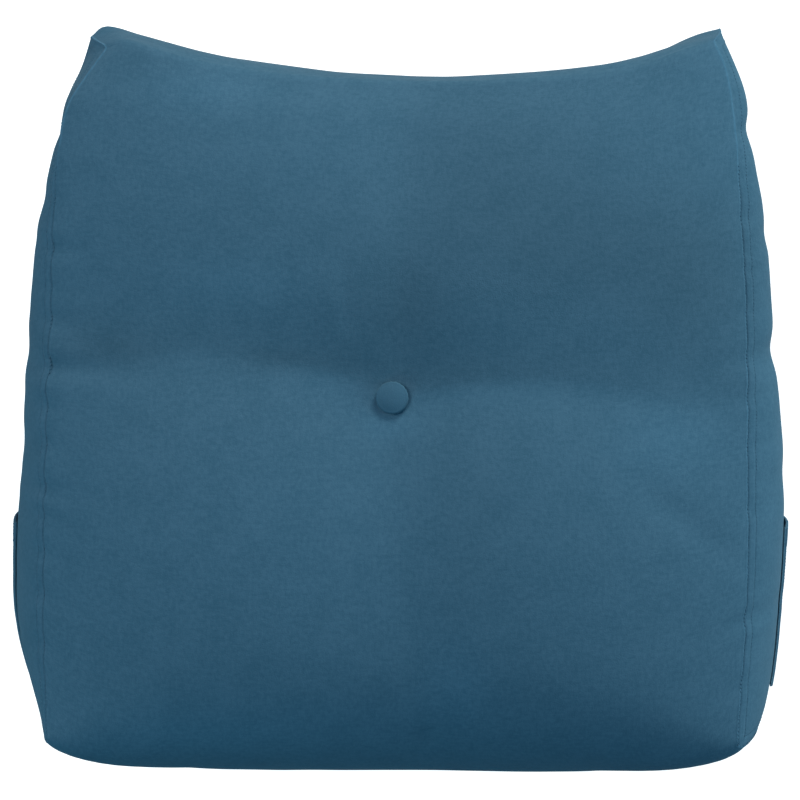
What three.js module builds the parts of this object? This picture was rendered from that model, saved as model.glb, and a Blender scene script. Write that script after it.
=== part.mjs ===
// A wedge-shaped back cushion lying on its back: one filled cover, a covered button and two side pockets.
// Millimetres. X runs across the cushion, Y up its height and Z out of its back, which rests on Z = 0.
import * as THREE from "three";
import { mergeVertices } from "three/addons/utils/BufferGeometryUtils.js";

// Cover, seam to seam
const BACK_HEIGHT = 604;
const BASE_DEPTH = 215;
const TOP_DEPTH = 45;

// How far the filling swells the cover
const FRONT_CROWN = 76;
const CROWN_AT_BASE = 0.3; // share of the crown left where the front rolls under
const CROWN_AT_TOP = 0.55;
const BASE_SWELL = 48;
const BACK_LIFT = 11; // height of the side seams of the back above the surface
const BACK_FLAT = 0.86; // share of the half width that lies flat at the base and the top
const BACK_DRAW = 0.12; // how much less lies flat halfway up

// How a swell dies away towards the edge of its panel: flat keeps it level for longer, edge rounds its end
const FRONT_ACROSS = { flat: 2.4, edge: 0.75 };
const BASE_ACROSS = { flat: 5, edge: 0.8 };
const SIDE_THROUGH = { flat: 2.2, edge: 0.75 };

// How closely a shape keeps to the edge that it belongs to
const HOLD = { baseSwell: 4, sideSwell: 8, crownAtBase: 2.5, crownAtTop: 2.2, outOfBack: 1.5, topDip: 4, ear: 20 };

// Radius of each fold that runs across the cushion, halfway between the side seams
const ROLL = { frontBase: 130, backBase: 42, frontTop: 12, backTop: 15 };
const ROLL_AT_SEAM = 9;
const ROLL_POWER = 2.5; // 2 is a round fold, higher is squarer
const ROLL_LIMIT = 0.96; // share of the half depth that a fold may take

// Covered button
const BUTTON_DIAMETER = 28.5;
const BUTTON_HEIGHT = 8;
const BUTTON_RISE = 0.505; // share of the front's height
const BUTTON_SINK = 41; // flat seat of the button below the crown
const SEAT_BLEND = 2; // rounding of the rim of the seat
const BUTTON_FOOT = 0.86; // share of the radius that is flat underneath
const PIECE_GAP = 0.6;

// Outline of the button from its foot to its middle, as shares of its radius and height
const BUTTON_CURVES = [
  { heading: [1, 0.15], end: [1, 0.4] },
  { heading: [0.96, 0.8], end: [0.6, 0.94] },
  { heading: [0.3, 1], end: [0, 1] },
];

// Side pockets, placed on the side panels
const POCKET_TOP = 0.283; // mouth, as a share of the height
const POCKET_BOTTOM = 0.05;
const POCKET_BACK = 0.08; // back and front edges, as shares of the depth
const POCKET_FRONT = 0.6;
const POCKET_CLOTH = 2;
const POCKET_HEM = 1; // extra thickness of the folded hem
const POCKET_HEM_HEIGHT = 0.12; // share of the pocket's height
const POCKET_HEM_STEP = 0.02;
const POCKET_EASE = 8; // how far the mouth gapes
const POCKET_GAP = 0.7;

// Cells of cloth across, up and through the cushion, drawn together towards the seams and the button
const CELLS = { across: 38, up: 50, through: 10 };
const CELL_CROWDING = 0.45;
const POCKET_CELLS = { across: 12, up: 12 };

// A row for each level up the cushion: where its side seams run and how far the side panels swell past them
const LEVELS = [
  { rise: 0.0, leftSeam: 302, rightSeam: 303, leftSwell: 10, rightSwell: 25 },
  { rise: 0.03, leftSeam: 303, rightSeam: 304, leftSwell: 16, rightSwell: 31 },
  { rise: 0.08, leftSeam: 304, rightSeam: 306, leftSwell: 26, rightSwell: 34 },
  { rise: 0.15, leftSeam: 306, rightSeam: 309, leftSwell: 33, rightSwell: 35 },
  { rise: 0.25, leftSeam: 307, rightSeam: 312, leftSwell: 33, rightSwell: 36 },
  { rise: 0.37, leftSeam: 307, rightSeam: 312, leftSwell: 28, rightSwell: 37 },
  { rise: 0.48, leftSeam: 306, rightSeam: 312, leftSwell: 26, rightSwell: 31 },
  { rise: 0.6, leftSeam: 304, rightSeam: 311, leftSwell: 24, rightSwell: 26 },
  { rise: 0.72, leftSeam: 303, rightSeam: 307, leftSwell: 18, rightSwell: 24 },
  { rise: 0.83, leftSeam: 300, rightSeam: 303, leftSwell: 8, rightSwell: 16 },
  { rise: 0.91, leftSeam: 291, rightSeam: 298, leftSwell: 4, rightSwell: 14 },
  { rise: 0.96, leftSeam: 273, rightSeam: 292, leftSwell: 3, rightSwell: 8 },
  { rise: 1.0, leftSeam: 256, rightSeam: 281, leftSwell: 3, rightSwell: 5 },
];

// The top edge is drawn in between its corners, further at the back than at the front
const TOP_EDGE = [
  { across: -1, frontDip: 10, backDip: 4 },
  { across: -0.94, frontDip: 4, backDip: -5 },
  { across: -0.86, frontDip: 6, backDip: 3 },
  { across: -0.78, frontDip: 10, backDip: 11 },
  { across: -0.66, frontDip: 16, backDip: 22 },
  { across: -0.47, frontDip: 23, backDip: 33 },
  { across: -0.2, frontDip: 28, backDip: 46 },
  { across: 0.15, frontDip: 30, backDip: 50 },
  { across: 0.5, frontDip: 26, backDip: 43 },
  { across: 0.75, frontDip: 19, backDip: 27 },
  { across: 0.9, frontDip: 7, backDip: 6 },
  { across: 1, frontDip: 2, backDip: -4 },
];

// The corners of the top spread into ears at the back
const EAR_SPREAD = { left: 20, right: 5 };

// Creases of the pull of the button, measured from it across and up the slope of the front:
// a place along the crease, then where its line runs, how deep and wide it is there, and how far its soft bottom
// reaches on the lower or left side of the line and on the other
const CREASE_ACROSS = [
  { along: -310, line: 26, depth: 37, width: 85, below: 9, above: 50 },
  { along: -227, line: 32, depth: 38, width: 85, below: 9, above: 50 },
  { along: -175, line: 37, depth: 38, width: 88, below: 9, above: 50 },
  { along: -80, line: 27, depth: 32, width: 90, below: 9, above: 30 },
  { along: -24, line: 10, depth: 27, width: 86, below: 9, above: 12 },
  { along: 0, line: 3, depth: 26, width: 84, below: 9, above: 10 },
  { along: 22, line: 3, depth: 27, width: 84, below: 9, above: 12 },
  { along: 68, line: 11, depth: 30, width: 90, below: 9, above: 30 },
  { along: 146, line: 14, depth: 37, width: 98, below: 9, above: 50 },
  { along: 189, line: 9, depth: 39, width: 100, below: 9, above: 50 },
  { along: 224, line: 0, depth: 40, width: 100, below: 9, above: 50 },
  { along: 267, line: -13, depth: 40, width: 98, below: 9, above: 50 },
  { along: 315, line: -15, depth: 40, width: 95, below: 9, above: 50 },
];
const CREASE_UP = [
  { along: -310, line: 36, depth: 24, width: 80, below: 30, above: 30 },
  { along: -230, line: 22, depth: 24, width: 75, below: 28, above: 28 },
  { along: -150, line: 8, depth: 22, width: 70, below: 22, above: 22 },
  { along: -70, line: 3, depth: 21, width: 65, below: 16, above: 16 },
  { along: 0, line: 0, depth: 22, width: 58, below: 12, above: 12 },
  { along: 45, line: 3, depth: 18, width: 55, below: 12, above: 12 },
  { along: 95, line: 6, depth: 13, width: 55, below: 12, above: 12 },
  { along: 145, line: 9, depth: 15, width: 65, below: 14, above: 14 },
  { along: 210, line: 12, depth: 20, width: 75, below: 20, above: 20 },
  { along: 300, line: 15, depth: 25, width: 80, below: 26, above: 26 },
];

// Puckers that draw the side panels in: height up the cushion, depth and half width
const PUCKERS = [
  { side: "left", rise: 0.87, depth: 3, width: 14 },
  { side: "left", rise: 0.76, depth: 2, width: 13 },
  { side: "left", rise: 0.545, depth: 2, width: 16 },
  { side: "left", rise: 0.4, depth: 2, width: 17 },
  { side: "right", rise: 0.86, depth: 4, width: 14 },
  { side: "right", rise: 0.71, depth: 2.5, width: 13 },
  { side: "right", rise: 0.54, depth: 5, width: 17 },
  { side: "right", rise: 0.36, depth: 2, width: 16 },
];

const CLOTH = new THREE.Color(0x365d75);
const SLOPE = Math.atan2(BASE_DEPTH - TOP_DEPTH, BACK_HEIGHT);

const mix = (a, b, t) => a + (b - a) * t;
const clamp01 = (t) => Math.min(1, Math.max(0, t));
const smooth = (t) => clamp01(t) ** 2 * (3 - 2 * clamp01(t));
const bell = (t) => Math.exp(-t * t);
const dieAway = (t, { flat, edge }) => (1 - Math.abs(t) ** flat) ** edge;
const depthAt = (v) => mix(BASE_DEPTH, TOP_DEPTH, (v + 1) / 2);

// Smooth curve through a table's rows
function readTable(rows, key, column, at) {
  const last = rows.length - 1;
  let i = 0;
  while (i < last - 1 && at > rows[i + 1][key]) i++;
  const value = (k) => rows[Math.min(last, Math.max(0, k))][column];
  const place = (k) => rows[Math.min(last, Math.max(0, k))][key];
  const span = place(i + 1) - place(i);
  const t = clamp01((at - place(i)) / span);
  const grade = (k) => ((value(k + 1) - value(k - 1)) / (place(k + 1) - place(k - 1))) * span;
  const [t2, t3] = [t * t, t * t * t];
  return (
    (2 * t3 - 3 * t2 + 1) * value(i) +
    (t3 - 2 * t2 + t) * grade(i) +
    (3 * t2 - 2 * t3) * value(i + 1) +
    (t3 - t2) * grade(i + 1)
  );
}

// Depth of one crease, at a place along it and a place across it
function creaseDepth(rows, along, across) {
  const read = (column) => readTable(rows, "along", column, along);
  const off = across - read("line");
  const tip = off < 0 ? read("below") : read("above");
  return read("depth") * Math.exp((tip - Math.hypot(off, tip)) / read("width"));
}

// Depth of the pull on the front at a place measured from the button, across and up the slope
function pullDepth(x, y) {
  const pull = creaseDepth(CREASE_ACROSS, x, y) + creaseDepth(CREASE_UP, y, x);
  return BUTTON_SINK - SEAT_BLEND * Math.log1p(Math.exp((BUTTON_SINK - pull) / SEAT_BLEND));
}

// How far a side panel stands out past its seams
function sideSwell(side, v, w) {
  const rise = (v + 1) / 2;
  let swell = readTable(LEVELS, "rise", side + "Swell", rise);
  for (const pucker of PUCKERS) {
    if (pucker.side === side) swell -= pucker.depth * bell(((rise - pucker.rise) * BACK_HEIGHT) / pucker.width);
  }
  return swell * dieAway(w, SIDE_THROUGH);
}

function crownUp(v) {
  const [share, hold] = v > 0 ? [CROWN_AT_TOP, HOLD.crownAtTop] : [CROWN_AT_BASE, HOLD.crownAtBase];
  return 1 - (1 - share) * Math.abs(v) ** hold;
}

// Rounds the corners of the square section (v, w) by the fold's radius
function rollCorner(u, v, w) {
  const fold = (w > 0 ? "front" : "back") + (v > 0 ? "Top" : "Base");
  const radius = mix(ROLL[fold], ROLL_AT_SEAM, Math.abs(u) ** 3);
  const reachUp = radius / (BACK_HEIGHT / 2);
  const reachOut = Math.min(ROLL_LIMIT, radius / (depthAt(v) / 2));
  const a = Math.max(0, (Math.abs(v) - 1 + reachUp) / reachUp);
  const b = Math.max(0, (Math.abs(w) - 1 + reachOut) / reachOut);
  if (a === 0 || b === 0) return [v, w];
  const shrink = Math.max(a, b) / (a ** ROLL_POWER + b ** ROLL_POWER) ** (1 / ROLL_POWER);
  return [
    Math.sign(v) * (1 - reachUp + reachUp * a * shrink),
    Math.sign(w) * (1 - reachOut + reachOut * b * shrink),
  ];
}

// A point of the filled cover. u runs from the left seam to the right one, v from the base to the top
// and w from the back to the front, each from -1 to 1 on the skin of a cube.
function coverPoint(u, v, w) {
  const [rv, rw] = rollCorner(u, v, w);
  const rise = (rv + 1) / 2;
  const front = (rw + 1) / 2;
  const side = u < 0 ? "left" : "right";
  const towardsSeam = Math.abs(u);
  const ear = (1 - front) * rise ** HOLD.ear;

  const leftSeam = readTable(LEVELS, "rise", "leftSeam", rise) + EAR_SPREAD.left * ear;
  const rightSeam = readTable(LEVELS, "rise", "rightSeam", rise) + EAR_SPREAD.right * ear;
  const swell = sideSwell(side, v, w) * towardsSeam ** HOLD.sideSwell;
  const x = mix(-leftSeam, rightSeam, (u + 1) / 2) + Math.sign(u) * swell;

  const baseSwell = BASE_SWELL * dieAway(u, BASE_ACROSS) * (1 - rise) ** HOLD.baseSwell;
  const dipAt = (column) => readTable(TOP_EDGE, "across", column, u);
  const dip = mix(dipAt("backDip"), dipAt("frontDip"), front) * rise ** HOLD.topDip;
  const y = (rv * BACK_HEIGHT) / 2 - baseSwell - dip;

  const flat = BACK_FLAT - BACK_DRAW * (1 - rv * rv);
  const lift = BACK_LIFT * smooth((towardsSeam - flat) / (1 - flat)) ** HOLD.outOfBack;
  const upSlope = ((rise - BUTTON_RISE) * BACK_HEIGHT) / Math.cos(SLOPE);
  const crown = (FRONT_CROWN - pullDepth(x, upSlope)) * dieAway(u, FRONT_ACROSS) * crownUp(rv);
  const z = mix(lift, depthAt(rv), front) + crown * smooth(front) ** HOLD.outOfBack;
  return new THREE.Vector3(x, y, z);
}

// Draws the cells of cloth together at the middle and the ends of their row
const crowd = (t) => t - (CELL_CROWDING / (2 * Math.PI)) * Math.sin(2 * Math.PI * t);

// A box of cells with shared corners, ready to be pulled into shape
function boxOfCells(across, up, through) {
  const box = new THREE.BoxGeometry(2, 2, 2, across, up, through);
  box.deleteAttribute("normal");
  box.deleteAttribute("uv");
  return mergeVertices(box, 1e-5);
}

function shapeCells(cells, place) {
  const points = cells.getAttribute("position");
  const tidy = (t) => Math.round(t * 1e6) / 1e6;
  for (let i = 0; i < points.count; i++) {
    const p = place(tidy(points.getX(i)), tidy(points.getY(i)), tidy(points.getZ(i)));
    points.setXYZ(i, p.x, p.y, p.z);
  }
  cells.computeVertexNormals();
  return cells;
}

const cloth = (roughness) => new THREE.MeshStandardMaterial({ color: CLOTH, roughness, metalness: 0 });

function makeCushion() {
  const cells = boxOfCells(CELLS.across, CELLS.up, CELLS.through);
  const cushion = new THREE.Mesh(
    shapeCells(cells, (a, b, c) => coverPoint(crowd(a), crowd(b), c)),
    cloth(0.92),
  );
  cushion.name = "cushion";
  return cushion;
}

// Middle of the flat seat, straight over the middle of the pull
function buttonSeat() {
  const leftSeam = readTable(LEVELS, "rise", "leftSeam", BUTTON_RISE);
  const rightSeam = readTable(LEVELS, "rise", "rightSeam", BUTTON_RISE);
  return coverPoint((leftSeam - rightSeam) / (leftSeam + rightSeam), 2 * BUTTON_RISE - 1, 1);
}

// The button is a shallow dome of cloth over a shell, on the flat seat of its dimple
function makeButton() {
  const radius = BUTTON_DIAMETER / 2;
  const outline = new THREE.Path();
  outline.moveTo(0, 0);
  outline.lineTo(radius * BUTTON_FOOT, 0);
  for (const { heading, end } of BUTTON_CURVES) {
    const [headingX, headingY, endX, endY] = [...heading, ...end];
    outline.quadraticCurveTo(radius * headingX, BUTTON_HEIGHT * headingY, radius * endX, BUTTON_HEIGHT * endY);
  }
  const dome = new THREE.LatheGeometry(outline.getPoints(5), 32);
  dome.rotateX(Math.PI / 2);
  const button = new THREE.Mesh(dome, cloth(0.88));
  button.name = "button";
  button.rotation.x = -SLOPE;
  button.position.copy(buttonSeat());
  button.translateZ(PIECE_GAP);
  return button;
}

// Point and outward direction on a side panel, by shares of its height and depth
function panelPoint(sign, rise, depth) {
  const step = 0.01;
  const at = (r, d) => coverPoint(sign, 2 * r - 1, 2 * d - 1);
  const up = at(rise + step, depth).sub(at(rise - step, depth));
  const out = at(rise, depth + step).sub(at(rise, depth - step));
  return { point: at(rise, depth), normal: up.cross(out).multiplyScalar(sign).normalize() };
}

// A pocket is one sheet on the side panel, sewn down on three edges and standing off at its mouth
function makePocket(name, sign) {
  const cells = boxOfCells(POCKET_CELLS.across, POCKET_CELLS.up, 1);
  const place = (a, b, layer) => {
    const forward = (1 - sign * a) / 2;
    const up = (b + 1) / 2;
    const { point, normal } = panelPoint(
      sign,
      mix(POCKET_BOTTOM, POCKET_TOP, up),
      mix(POCKET_BACK, POCKET_FRONT, forward),
    );
    const ease = POCKET_EASE * up ** 1.3 * Math.sin(Math.PI * forward ** 0.5);
    const hem = POCKET_HEM * smooth((up - 1 + POCKET_HEM_HEIGHT) / POCKET_HEM_STEP);
    const outer = layer > 0 ? POCKET_CLOTH + hem : 0;
    return point.addScaledVector(normal, POCKET_GAP + ease + outer);
  };
  const pocket = new THREE.Mesh(shapeCells(cells, place), cloth(0.92));
  pocket.name = name;
  return pocket;
}

const backCushion = new THREE.Group();
backCushion.add(makeCushion(), makeButton(), makePocket("pocket_left", -1), makePocket("pocket_right", 1));

// The origin is on the surface, under the middle of the cushion's box
const extent = new THREE.Box3().setFromObject(backCushion, true);
backCushion.position.set(-(extent.min.x + extent.max.x) / 2, -(extent.min.y + extent.max.y) / 2, -extent.min.z);

export default backCushion;
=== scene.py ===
# Wedge back cushion in short-pile cloth, lying on its back: filled cover, covered button and two side pockets
import math

import bpy
import numpy as np
from mathutils import Matrix, Vector


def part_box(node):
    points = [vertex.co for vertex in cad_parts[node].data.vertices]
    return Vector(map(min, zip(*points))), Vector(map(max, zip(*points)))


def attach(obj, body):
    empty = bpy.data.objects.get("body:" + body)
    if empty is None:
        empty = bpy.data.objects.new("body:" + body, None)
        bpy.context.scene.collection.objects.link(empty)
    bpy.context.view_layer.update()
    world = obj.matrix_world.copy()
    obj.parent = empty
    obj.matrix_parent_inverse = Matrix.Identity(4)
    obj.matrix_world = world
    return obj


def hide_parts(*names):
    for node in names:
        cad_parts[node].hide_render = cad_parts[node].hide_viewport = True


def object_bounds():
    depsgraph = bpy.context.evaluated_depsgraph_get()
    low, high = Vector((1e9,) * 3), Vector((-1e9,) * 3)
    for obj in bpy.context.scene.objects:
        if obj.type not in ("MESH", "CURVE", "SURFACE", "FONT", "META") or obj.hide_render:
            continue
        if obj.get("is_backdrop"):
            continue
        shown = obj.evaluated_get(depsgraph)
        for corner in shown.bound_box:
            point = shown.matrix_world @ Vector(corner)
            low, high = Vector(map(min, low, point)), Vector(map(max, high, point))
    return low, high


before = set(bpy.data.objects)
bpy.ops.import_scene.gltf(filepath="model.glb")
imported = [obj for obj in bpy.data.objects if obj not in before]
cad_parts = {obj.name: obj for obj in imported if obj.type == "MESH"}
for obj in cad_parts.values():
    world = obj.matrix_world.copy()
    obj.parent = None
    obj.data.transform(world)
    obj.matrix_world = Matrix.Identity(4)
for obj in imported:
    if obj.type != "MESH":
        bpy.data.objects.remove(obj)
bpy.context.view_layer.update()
scene = bpy.context.scene
mm = 0.001  # shapes are worked out in millimetres and made in metres
tiny = 1e-9  # least divisor

# the sewn cover, with the sizes of its solid
cover = {
    "backHeight": 604, "baseDepth": 215, "topDepth": 45,
    "frontCrown": 76, "crownAtBase": 0.3, "crownAtTop": 0.55,
    "baseSwell": 48, "backLift": 11, "backFlat": 0.86, "backDraw": 0.12,
    "buttonRise": 0.505, "buttonSink": 41, "seatBlend": 2,
    # radius of each fold across the cushion
    "roll": {"frontBase": 130, "backBase": 42, "frontTop": 12, "backTop": 15},
    "rollPower": 2.5, "rollAtSeam": 9, "rollLimit": 0.96,
    "earSpread": (20, 5),  # of the back corners of the top, left and right
    # how a swell dies away towards the edge of its panel: how long it stays level, how round its end is
    "frontAcross": (2.4, 0.75), "baseAcross": (5, 0.8), "sideThrough": (2.2, 0.75),
}
frontSlope = math.atan2(cover["baseDepth"] - cover["topDepth"], cover["backHeight"])

# how closely each form keeps to its own edge of the cover, as a power
hold = {
    "ear": 20, "sideSwell": 8, "baseSwell": 4, "topDip": 4, "outOfBack": 1.5, "roll": 3,
    "crownAtBase": 2.5, "crownAtTop": 2.2,
}

# a row for each level up the cushion: rise, left seam, right seam, left swell, right swell
levels = np.array([
    (0.0, 302, 303, 10, 25),
    (0.03, 303, 304, 16, 31),
    (0.08, 304, 306, 26, 34),
    (0.15, 306, 309, 33, 35),
    (0.25, 307, 312, 33, 36),
    (0.37, 307, 312, 28, 37),
    (0.48, 306, 312, 26, 31),
    (0.6, 304, 311, 24, 26),
    (0.72, 303, 307, 18, 24),
    (0.83, 300, 303, 8, 16),
    (0.91, 291, 298, 4, 14),
    (0.96, 273, 292, 3, 8),
    (1.0, 256, 281, 3, 5),
])

# how far the top edge is drawn in: place across, dip at the front, dip at the back
topEdge = np.array([
    (-1, 10, 4), (-0.94, 4, -5), (-0.86, 6, 3), (-0.78, 10, 11), (-0.66, 16, 22), (-0.47, 23, 33),
    (-0.2, 28, 46), (0.15, 30, 50), (0.5, 26, 43), (0.75, 19, 27), (0.9, 7, 6), (1, 2, -4),
])

# creases of the pull of the button, measured from it across and up the slope of the front:
# place along the crease, place of its line, depth and width there,
# and half width of its soft bottom on the line's lower or left side and on the other
creases = {
    "across": np.array([
        (-310, 26, 37, 85, 9, 50), (-227, 32, 38, 85, 9, 50),
        (-175, 37, 38, 88, 9, 50), (-80, 27, 32, 90, 9, 30),
        (-24, 10, 27, 86, 9, 12), (0, 3, 26, 84, 9, 10), (22, 3, 27, 84, 9, 12), (68, 11, 30, 90, 9, 30),
        (146, 14, 37, 98, 9, 50), (189, 9, 39, 100, 9, 50),
        (224, 0, 40, 100, 9, 50), (267, -13, 40, 98, 9, 50),
        (315, -15, 40, 95, 9, 50),
    ]),
    "up": np.array([
        (-310, 36, 24, 80, 30, 30), (-230, 22, 24, 75, 28, 28),
        (-150, 8, 22, 70, 22, 22), (-70, 3, 21, 65, 16, 16),
        (0, 0, 22, 58, 12, 12), (45, 3, 18, 55, 12, 12), (95, 6, 13, 55, 12, 12), (145, 9, 15, 65, 14, 14),
        (210, 12, 20, 75, 20, 20), (300, 15, 25, 80, 26, 26),
    ]),
}

# puckers that draw the side panels in: rise, depth, half width
puckers = {
    "left": [(0.87, 3, 14), (0.76, 2, 13), (0.545, 2, 16), (0.4, 2, 17)],
    "right": [(0.86, 4, 14), (0.71, 2.5, 13), (0.54, 5, 17), (0.36, 2, 16)],
}


def smooth(t):
    t = np.clip(t, 0, 1)
    return t * t * (3 - 2 * t)


def mix(a, b, t):
    return a + (b - a) * t


def bell(t):
    return np.exp(-t * t)


def dieAway(t, shape):
    return np.maximum(0, 1 - np.abs(t) ** shape[0]) ** shape[1]


def between(t, span, value, grade, i):  # smooth curve from one value to the next one, by the grade at each
    return ((2 * t**3 - 3 * t**2 + 1) * value[i] + (t**3 - 2 * t**2 + t) * grade[i] * span
            + (3 * t**2 - 2 * t**3) * value[i + 1] + (t**3 - t**2) * grade[i + 1] * span)


def readTable(rows, column, at):  # smooth curve through a table's rows
    place, value = rows[:, 0], rows[:, column]
    i = np.clip(np.searchsorted(place, at) - 1, 0, len(place) - 2)
    ends = np.pad(place, 1, mode="edge"), np.pad(value, 1, mode="edge")
    grade = (ends[1][2:] - ends[1][:-2]) / (ends[0][2:] - ends[0][:-2])
    span = place[i + 1] - place[i]
    return between(np.clip((at - place[i]) / span, 0, 1), span, value, grade, i)


def depthAt(v):
    return mix(cover["baseDepth"], cover["topDepth"], (v + 1) / 2)


def creaseDepth(rows, along, across):
    line, depth, width, below, above = (readTable(rows, column, along) for column in (1, 2, 3, 4, 5))
    off = across - line
    tip = np.where(off < 0, below, above)
    return depth * np.exp((tip - np.hypot(off, tip)) / width)


def pullDepth(x, y):  # depth of the pull of the button, across and up the slope of the front
    pull = creaseDepth(creases["across"], x, y) + creaseDepth(creases["up"], y, x)
    over = (cover["buttonSink"] - pull) / cover["seatBlend"]
    return cover["buttonSink"] - cover["seatBlend"] * np.log1p(np.exp(over))


def sideSwell(side, v, w):  # how far a side panel stands out past its seams
    rise = (v + 1) / 2
    swell = readTable(levels, 3 if side == "left" else 4, rise)
    for place, depth, width in puckers[side]:
        swell = swell - depth * bell((rise - place) * cover["backHeight"] / width)
    return swell * dieAway(w, cover["sideThrough"])


def crownUp(v):  # share of the crown that is left at each level
    toBase = 1 - (1 - cover["crownAtBase"]) * np.abs(v) ** hold["crownAtBase"]
    toTop = 1 - (1 - cover["crownAtTop"]) * np.abs(v) ** hold["crownAtTop"]
    return np.where(v > 0, toTop, toBase)


def rollCorner(u, v, w):  # rounds the corners of the square section by the radius of each fold
    roll = cover["roll"]
    radius = np.where(w > 0, np.where(v > 0, roll["frontTop"], roll["frontBase"]),
                      np.where(v > 0, roll["backTop"], roll["backBase"]))
    radius = mix(radius, cover["rollAtSeam"], np.abs(u) ** hold["roll"])
    reachUp = radius / (cover["backHeight"] / 2)
    reachOut = np.minimum(cover["rollLimit"], radius / (depthAt(v) / 2))
    a = np.maximum(0, (np.abs(v) - 1 + reachUp) / reachUp)
    b = np.maximum(0, (np.abs(w) - 1 + reachOut) / reachOut)
    bent = (a > 0) & (b > 0)
    power = cover["rollPower"]
    bow = np.maximum((a**power + b**power) ** (1 / power), tiny)
    shrink = np.where(bent, np.maximum(a, b) / bow, 1)
    rv = np.where(bent, np.sign(v) * (1 - reachUp + reachUp * a * shrink), v)
    rw = np.where(bent, np.sign(w) * (1 - reachOut + reachOut * b * shrink), w)
    return rv, rw


# u runs from the left seam to the right one, v from the base to the top and w from the back to the front
def coverPoint(u, v, w):
    u, v, w = np.broadcast_arrays(*(np.asarray(t, float) for t in (u, v, w)))
    rv, rw = rollCorner(u, v, w)
    rise, front, toSeam = (rv + 1) / 2, (rw + 1) / 2, np.abs(u)
    ear = (1 - front) * rise ** hold["ear"]
    left = readTable(levels, 1, rise) + cover["earSpread"][0] * ear
    right = readTable(levels, 2, rise) + cover["earSpread"][1] * ear
    swell = np.where(u < 0, sideSwell("left", v, w), sideSwell("right", v, w)) * toSeam ** hold["sideSwell"]
    x = mix(-left, right, (u + 1) / 2) + np.sign(u) * swell
    baseSwell = cover["baseSwell"] * dieAway(u, cover["baseAcross"]) * (1 - rise) ** hold["baseSwell"]
    dip = mix(readTable(topEdge, 2, u), readTable(topEdge, 1, u), front) * rise ** hold["topDip"]
    y = rv * cover["backHeight"] / 2 - baseSwell - dip
    flat = cover["backFlat"] - cover["backDraw"] * (1 - rv**2)
    lift = cover["backLift"] * smooth((toSeam - flat) / (1 - flat)) ** hold["outOfBack"]
    upSlope = (rise - cover["buttonRise"]) * cover["backHeight"] / math.cos(frontSlope)
    crown = (cover["frontCrown"] - pullDepth(x, upSlope)) * dieAway(u, cover["frontAcross"]) * crownUp(rv)
    z = mix(lift, depthAt(rv), front) + crown * smooth(front) ** hold["outOfBack"]
    return np.stack([x, y, z], -1)


def buttonSeat():  # the middle of the seat, straight over the middle of the pull
    left, right = (readTable(levels, column, cover["buttonRise"]) for column in (1, 2))
    return coverPoint((left - right) / (left + right), 2 * cover["buttonRise"] - 1, 1)


# the cover's own place in the frame, from the box of its solid
roughCounts = (39, 51, 11)  # points across, up and through
roughPlaces = np.meshgrid(*(np.linspace(-1, 1, count) for count in roughCounts), indexing="ij")
rough = coverPoint(*roughPlaces).reshape(-1, 3)
low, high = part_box("cushion")
shift = np.zeros(3)
for i in (0, 1):
    shift[i] = (low[i] + high[i]) / 2 / mm - (rough[:, i].min() + rough[:, i].max()) / 2
print("cover placed", shift.round(2))


# grids on the skin of the cube that the cover is drawn from

def corners(sheet, turn=1):  # the four corners of each cell of a sheet of points
    cells = np.stack([sheet[:-1, :-1], sheet[1:, :-1], sheet[1:, 1:], sheet[:-1, 1:]], 2)
    return cells.reshape((-1, 4) + sheet.shape[2:])[:, ::turn]


def sheets(number):  # front, back, right side, left side, base and top, each with the way that it is turned
    return [(number[:, :, -1], 1), (number[:, :, 0], -1), (number[-1], 1), (number[0], -1),
            (number[:, 0], 1), (number[:, -1], -1)]


def skinGrid(us, vs, ws):  # ws holds a row of lines through the cushion for each level up it
    number = -np.ones((len(us), len(vs), ws.shape[1]), int)
    skin = np.zeros(number.shape, bool)
    skin[[0, -1]] = skin[:, [0, -1]] = skin[:, :, [0, -1]] = True
    number[skin] = np.arange(skin.sum())
    i, j, k = np.nonzero(skin)
    return {"number": number, "quads": np.concatenate([corners(*sheet) for sheet in sheets(number)]),
            "place": (us[i], vs[j], ws[j, k]), "us": us, "vs": vs, "ws": ws}


def edgeLines(length, edges, count):  # lines at the given distances from both ends, with even ones between
    edges = np.array(edges, float)
    middle = np.linspace(edges[-1], length - edges[-1], count + 1)[1:-1]
    return np.concatenate([edges, middle, (length - edges)[::-1]])


def carry(values, fromLines, toLines):  # smooth reading of values along their first axis
    i = np.clip(np.searchsorted(fromLines, toLines, side="right") - 1, 0, len(fromLines) - 2)
    wide = np.concatenate([values[:1], values, values[-1:]])
    lines = np.concatenate([fromLines[:1], fromLines, fromLines[-1:]])
    shape = (-1,) + (1,) * (values.ndim - 1)
    grade = (wide[2:] - wide[:-2]) / (lines[2:] - lines[:-2]).reshape(shape)
    span = (fromLines[i + 1] - fromLines[i]).reshape(shape)
    return between((toLines - fromLines[i]).reshape(shape) / span, span, values, grade, i)


def meshFrom(name, points, quads):
    mesh = bpy.data.meshes.new(name)
    mesh.vertices.add(len(points))
    mesh.vertices.foreach_set("co", (points * mm).astype(np.float32).ravel())
    mesh.loops.add(quads.size)
    mesh.loops.foreach_set("vertex_index", quads.astype(np.int32).ravel())
    mesh.polygons.add(len(quads))
    mesh.polygons.foreach_set("loop_start", np.arange(0, quads.size, quads.shape[1], dtype=np.int32))
    mesh.update(calc_edges=True)
    mesh.validate()
    mesh.shade_smooth()
    return mesh


def addPiece(name, data):
    piece = bpy.data.objects.new(name, data)
    scene.collection.objects.link(piece)
    return piece


def readVectors(vectors, key):  # a mesh's points or normals
    values = np.empty(len(vectors) * 3, np.float32)
    vectors.foreach_get(key, values)
    return values.reshape(-1, 3).astype(float)


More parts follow.
